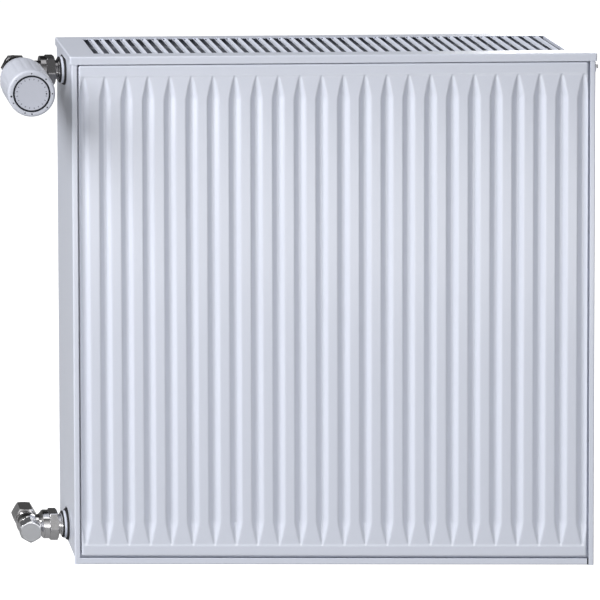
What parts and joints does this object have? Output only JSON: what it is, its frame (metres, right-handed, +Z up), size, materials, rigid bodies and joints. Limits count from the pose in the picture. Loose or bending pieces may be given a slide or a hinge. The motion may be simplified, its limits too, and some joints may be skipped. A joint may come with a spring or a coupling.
{
  "type": "panel radiator with thermostatic valve",
  "caption": "White steel panel radiator with a grooved front, slotted top grille and side covers, a thermostatic angle valve at the top left and a lockshield valve at the bottom left",
  "frame": {"origin": "middle of the rear panel's face, at the height of the upper tappings", "axes": "X along the wall to the right seen from the room, Y towards the wall, Z up"},
  "size_m": [0.6992, 0.1695, 0.6002],
  "materials": {
    "enamel": "gloss white baked enamel",
    "convector_enamel": "thin white enamel",
    "nickel": "nickel plated brass, satin",
    "cap_nickel": "satin nickel",
    "brass": "machined",
    "spring_steel": "bright",
    "rubber": "matte black",
    "white_plastic": "satin white",
    "dark_plastic": "satin dark grey"
  },
  "bodies": {
    "radiator": {"front_panel_outer": "enamel", "front_panel_inner": "enamel", "rear_panel_inner": "enamel", "rear_panel_outer": "enamel", "front_convector": "convector_enamel", "rear_convector": "convector_enamel", "tee_flow": "enamel", "tee_return": "enamel", "tee_vent": "enamel", "tee_blank": "enamel", "top_grille": "enamel", "grille_clips": "spring_steel", "side_cover_left": "enamel", "side_cover_right": "enamel", "cover_grommets": "rubber", "bottom_trim": "enamel", "hanging_lugs": "enamel", "vent_body": "nickel", "plug_seals": "rubber", "blank_plug": "nickel", "tails": "nickel", "tail_washers": "rubber", "tail_seals": "rubber", "union_nuts": "nickel", "trv_body": "nickel", "trv_insert": "brass", "trv_gland": "brass", "gland_seal": "rubber", "return_spring": "spring_steel", "ring_nut": "nickel", "head_base": "white_plastic", "lockshield_body": "nickel", "lockshield_bonnet": "brass"},
    "knob": {"handle": "white_plastic", "handle_ring": "dark_plastic", "handle_cap": "white_plastic"},
    "sensor": {"sensor_carrier": "dark_plastic", "sensor_capsule": "spring_steel", "push_pin": "white_plastic", "overtravel_spring": "spring_steel"},
    "stem": {"trv_stem": "spring_steel", "trv_disc": "rubber"},
    "washer": {"cap_washer": "rubber"},
    "shield_cap": {"lockshield_cap": "cap_nickel"},
    "spindle": {"lockshield_spindle": "brass", "spindle_seal": "rubber"},
    "regulating_plug": {"lockshield_plug": "brass"},
    "bleed_ring": {"bleed_seal": "rubber"},
    "bleeder": {"bleed_screw": "nickel"},
    "spout": {"vent_swivel": "white_plastic"}
  },
  "joints": [
    {"name": "handle_turn", "type": "hinge", "parent": "radiator", "child": "knob", "pos_m": [-0.3536, -0.05, 0], "axis": [0, 1, 0], "range_deg": [-150, 150]},
    {"name": "sensor_slide", "type": "slide", "parent": "radiator", "child": "sensor", "axis": [0, 1, 0], "range_m": [-0.0013, 0.0013]},
    {"name": "stem_slide", "type": "slide", "parent": "radiator", "child": "stem", "axis": [0, 1, 0], "range_m": [-0.0013, 0.0013], "deforming": ["return_spring"]},
    {"name": "cap_lift", "type": "slide", "parent": "radiator", "child": "washer", "axis": [0, -1, 0], "range_m": [0, 0.006]},
    {"name": "cap_turn", "type": "hinge", "parent": "washer", "child": "shield_cap", "pos_m": [-0.3444, -0.05, -0.546], "axis": [0, 1, 0], "range_deg": [-1440, 0]},
    {"name": "spindle_turn", "type": "hinge", "parent": "radiator", "child": "spindle", "pos_m": [-0.3444, -0.05, -0.546], "axis": [0, 1, 0], "range_deg": [-340, 340]},
    {"name": "plug_slide", "type": "slide", "parent": "radiator", "child": "regulating_plug", "axis": [0, 1, 0], "range_m": [-0.0012, 0.0012]},
    {"name": "bleed_lift", "type": "slide", "parent": "radiator", "child": "bleed_ring", "axis": [1, 0, 0], "range_m": [0, 0.0008]},
    {"name": "bleed_turn", "type": "hinge", "parent": "bleed_ring", "child": "bleeder", "pos_m": [0.303, -0.05, 0], "axis": [1, 0, 0], "range_deg": [0, 360]},
    {"name": "spout_turn", "type": "hinge", "parent": "radiator", "child": "spout", "pos_m": [0.303, -0.05, 0], "axis": [1, 0, 0], "continuous": true}
  ],
  "couplings": [
    {"joint": "sensor_slide", "follows": "handle_turn", "m_per_rad": 0.00047746},
    {"joint": "stem_slide", "follows": "handle_turn", "m_per_rad": 0.00047746},
    {"joint": "cap_lift", "follows": "cap_turn", "m_per_rad": -0.00023873},
    {"joint": "plug_slide", "follows": "spindle_turn", "m_per_rad": 0.00019894},
    {"joint": "bleed_turn", "follows": "bleed_lift", "rad_per_m": 7854}
  ]
}
